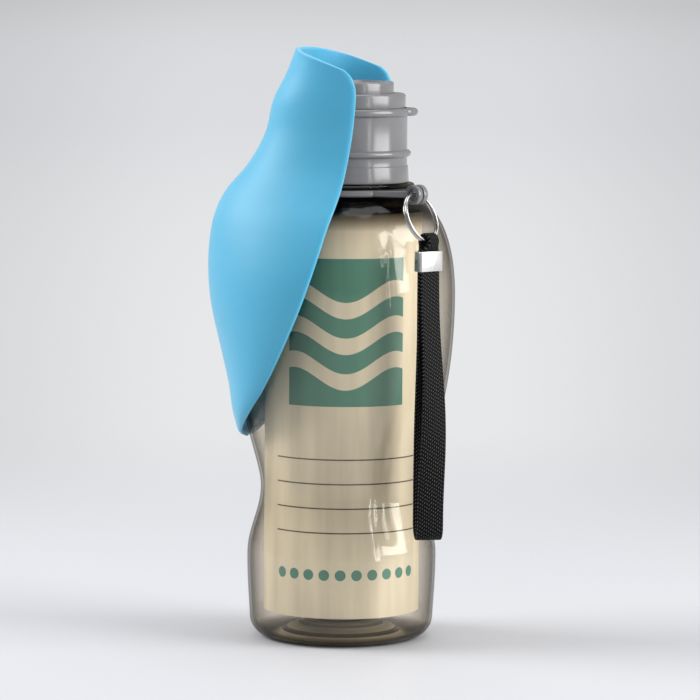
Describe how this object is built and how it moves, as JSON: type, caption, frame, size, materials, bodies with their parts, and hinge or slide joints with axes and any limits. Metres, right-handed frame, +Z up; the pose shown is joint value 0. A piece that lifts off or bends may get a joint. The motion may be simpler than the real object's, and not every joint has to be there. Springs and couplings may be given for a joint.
{
  "type": "dog travel water bottle",
  "caption": "Hourglass squeeze bottle with a screw cap and twist valve, a soft leaf-shaped bowl pivoting on the cap, and a webbing wrist strap on a neck ring.",
  "frame": {"origin": "centre of the foot ring, on the surface that the bottle stands on", "axes": "+Z up along the bottle's axis; the leaf hangs on the -X side and the strap on the +X, -Y side"},
  "size_m": [0.0915, 0.0889, 0.2187],
  "materials": {
    "smoke_pet": "clear smoke-grey blown PET, glossy",
    "grey_abs": "moulded grey ABS, satin gloss",
    "leaf_silicone": "matte light-blue silicone",
    "steel_wire": "nickel-plated spring steel",
    "crimp_steel": "polished plated steel",
    "webbing": "black nylon webbing",
    "seal_silicone": "soft silicone",
    "white_pom": "moulded POM",
    "card": "matte printed card"
  },
  "bodies": {
    "bottle": {"bottle_body": "smoke_pet", "info_card": "card"},
    "neck_ring": {"strap_ring": "grey_abs"},
    "split_ring": {"split_ring": "steel_wire"},
    "strap": {"wrist_strap": "webbing", "strap_crimp": "crimp_steel"},
    "seal": {"cap_gasket": "seal_silicone"},
    "cap": {"cap_body": "grey_abs", "cap_cover": "grey_abs"},
    "valve": {"valve_knob": "grey_abs", "valve_stem": "white_pom", "stem_oring_upper": "seal_silicone", "stem_oring_lower": "seal_silicone", "stem_clip": "steel_wire"},
    "leaf": {"leaf_bowl": "leaf_silicone", "leaf_bush_near": "grey_abs", "leaf_bush_far": "grey_abs"}
  },
  "joints": [
    {"name": "cap_lift", "type": "slide", "parent": "bottle", "child": "seal", "axis": [0, 0, 1], "range_m": [0, 0.00375]},
    {"name": "cap_turn", "type": "hinge", "parent": "seal", "child": "cap", "pos_m": [0, 0, 0.187], "axis": [0, 0, 1], "range_deg": [0, 450]},
    {"name": "valve_twist", "type": "hinge", "parent": "cap", "child": "valve", "pos_m": [0, 0, 0.2018], "axis": [0, 0, 1], "range_deg": [0, 90]},
    {"name": "leaf_flip", "type": "hinge", "parent": "cap", "child": "leaf", "pos_m": [0, 0, 0.1991], "axis": [0.2588, 0.9659, 0], "range_deg": [0, 125]},
    {"name": "ring_swivel", "type": "hinge", "parent": "bottle", "child": "neck_ring", "pos_m": [0, 0, 0.16585], "axis": [0, 0, 1], "range_deg": [0, 450]},
    {"name": "ring_swing", "type": "hinge", "parent": "neck_ring", "child": "split_ring", "pos_m": [0.02626, -0.02535, 0.16585], "axis": [-0.6947, -0.7193, 0], "range_deg": [0, 100]},
    {"name": "strap_swing", "type": "hinge", "parent": "split_ring", "child": "strap", "pos_m": [0.03075, -0.03065, 0.1493], "axis": [-0.6947, -0.7193, 0], "range_deg": [0, 60]}
  ],
  "couplings": [
    {"joint": "cap_lift", "follows": "cap_turn", "m_per_rad": 0.00047746},
    {"joint": "ring_swivel", "follows": "cap_turn", "ratio": 1}
  ]
}
